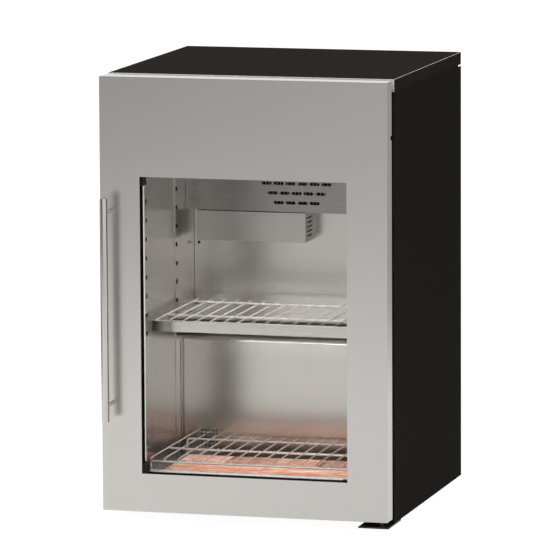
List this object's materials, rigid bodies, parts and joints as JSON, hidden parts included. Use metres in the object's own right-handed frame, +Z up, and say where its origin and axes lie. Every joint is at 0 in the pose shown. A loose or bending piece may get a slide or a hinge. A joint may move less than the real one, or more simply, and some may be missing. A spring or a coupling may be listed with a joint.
{
  "type": "dry aging cabinet",
  "caption": "Under-counter dry aging cabinet with a glazed hinged door, bar handle, stepped steel cavity, wire racks, salt bricks and rear refrigeration unit.",
  "frame": {"origin": "on the floor, under the middle of the whole object's bounding box", "axes": "+Z up, -Y out of the door's face, +X towards the hinge side (the right, seen from the front)"},
  "size_m": [0.6, 0.675, 0.914],
  "materials": {
    "black_paint": "satin black powder coat",
    "black_shell": "satin black paint",
    "brushed_steel": "fine brushed stainless steel",
    "bright_wire": "bright drawn wire",
    "insulation": null,
    "clear_glass": "clear float glass",
    "black_rubber": "matt black",
    "black_plastic": "satin black",
    "grey_plastic": "satin grey",
    "coil_aluminium": "mill finish",
    "salt_orange": "cut rock salt, orange with pale veins",
    "salt_pale": "cut rock salt, pale orange",
    "salt_tan": "cut rock salt, tan",
    "salt_red": "cut rock salt, dark red"
  },
  "bodies": {
    "cabinet": {"side_panel_left": "black_paint", "side_panel_right": "black_paint", "back_panel": "black_paint", "base_pan": "black_paint", "top_panel": "black_paint", "top_edge_trim": "brushed_steel", "front_frame": "black_paint", "insulation_foam": "insulation", "inner_liner": "brushed_steel", "air_panel": "brushed_steel", "fan_cover": "brushed_steel", "fan_motor": "black_plastic", "evaporator_coil": "coil_aluminium", "upright_front_left": "brushed_steel", "upright_front_right": "brushed_steel", "upright_rear_left": "brushed_steel", "upright_rear_right": "brushed_steel", "runner_left": "brushed_steel", "runner_right": "brushed_steel", "shelf_trim": "brushed_steel", "compressor": "black_shell", "condenser_coil": "coil_aluminium", "fan_shroud": "black_plastic", "machine_grille": "black_paint", "power_inlet": "grey_plastic", "control_fascia": "black_paint", "display_window": "black_plastic", "hinge_plate_lower": "black_shell", "hinge_plate_upper": "brushed_steel"},
    "door": {"door_skin": "brushed_steel", "door_inner_panel": "brushed_steel", "door_foam": "insulation", "glass_outer": "clear_glass", "glass_inner": "clear_glass", "glass_spacer": "black_plastic", "glazing_bead": "brushed_steel", "door_gasket": "black_rubber", "handle": "brushed_steel", "hinge_bush_lower": "grey_plastic", "hinge_bush_upper": "grey_plastic"},
    "upper_rack": {"upper_rack": "bright_wire"},
    "lower_rack": {"lower_rack": "bright_wire", "lower_rack_front_frame": "bright_wire", "lower_rack_rear_frame": "bright_wire"},
    "salt_tray": {"salt_tray": "brushed_steel", "salt_brick_1": "salt_orange", "salt_brick_2": "salt_orange", "salt_brick_3": "salt_pale", "salt_brick_4": "salt_red", "salt_brick_5": "salt_tan", "salt_brick_6": "salt_red"},
    "circulation_rotor": {"circulation_rotor": "grey_plastic"},
    "condenser_rotor": {"condenser_rotor": "grey_plastic"},
    "button_up": {"button_up": "grey_plastic"},
    "button_down": {"button_down": "grey_plastic"},
    "power_switch": {"power_switch": "grey_plastic"},
    "foot_front_left": {"foot_front_left": "black_plastic"},
    "foot_front_right": {"foot_front_right": "black_plastic"},
    "foot_rear_left": {"foot_rear_left": "black_plastic"},
    "foot_rear_right": {"foot_rear_right": "black_plastic"}
  },
  "joints": [
    {"name": "door_hinge", "type": "hinge", "parent": "cabinet", "child": "door", "pos_m": [0.2805, -0.2595, 0.4], "axis": [0, 0, 1], "range_deg": [0, 105]},
    {"name": "upper_rack_lift", "type": "slide", "parent": "cabinet", "child": "upper_rack", "axis": [0, 0, 1], "range_m": [0, 0.05]},
    {"name": "lower_rack_lift", "type": "slide", "parent": "cabinet", "child": "lower_rack", "axis": [0, 0, 1], "range_m": [0, 0.05]},
    {"name": "salt_tray_slide", "type": "slide", "parent": "cabinet", "child": "salt_tray", "axis": [0, -1, 0], "range_m": [0, 0.026]},
    {"name": "circulation_fan_spin", "type": "hinge", "parent": "cabinet", "child": "circulation_rotor", "pos_m": [-0.07, 0.1515, 0.56045], "axis": [1, 0, 0], "continuous": true},
    {"name": "condenser_fan_spin", "type": "hinge", "parent": "cabinet", "child": "condenser_rotor", "pos_m": [-0.1798, 0.21825, 0.1038], "axis": [1, 0, 0], "continuous": true},
    {"name": "button_up_press", "type": "slide", "parent": "cabinet", "child": "button_up", "axis": [0, 1, 0], "range_m": [0, 0.002], "stiffness_N_per_m": 300},
    {"name": "button_down_press", "type": "slide", "parent": "cabinet", "child": "button_down", "axis": [0, 1, 0], "range_m": [0, 0.002], "stiffness_N_per_m": 300},
    {"name": "power_switch_rock", "type": "hinge", "parent": "cabinet", "child": "power_switch", "pos_m": [-0.07, -0.2274, 0.83035], "axis": [1, 0, 0], "range_deg": [0, 10]},
    {"name": "foot_front_left_turn", "type": "hinge", "parent": "cabinet", "child": "foot_front_left", "pos_m": [-0.245, -0.1435, 0.01], "axis": [0, 0, 1], "continuous": true},
    {"name": "foot_front_right_turn", "type": "hinge", "parent": "cabinet", "child": "foot_front_right", "pos_m": [0.245, -0.1435, 0.01], "axis": [0, 0, 1], "continuous": true},
    {"name": "foot_rear_left_turn", "type": "hinge", "parent": "cabinet", "child": "foot_rear_left", "pos_m": [-0.245, 0.2425, 0.01], "axis": [0, 0, 1], "continuous": true},
    {"name": "foot_rear_right_turn", "type": "hinge", "parent": "cabinet", "child": "foot_rear_right", "pos_m": [0.245, 0.2425, 0.01], "axis": [0, 0, 1], "continuous": true}
  ]
}
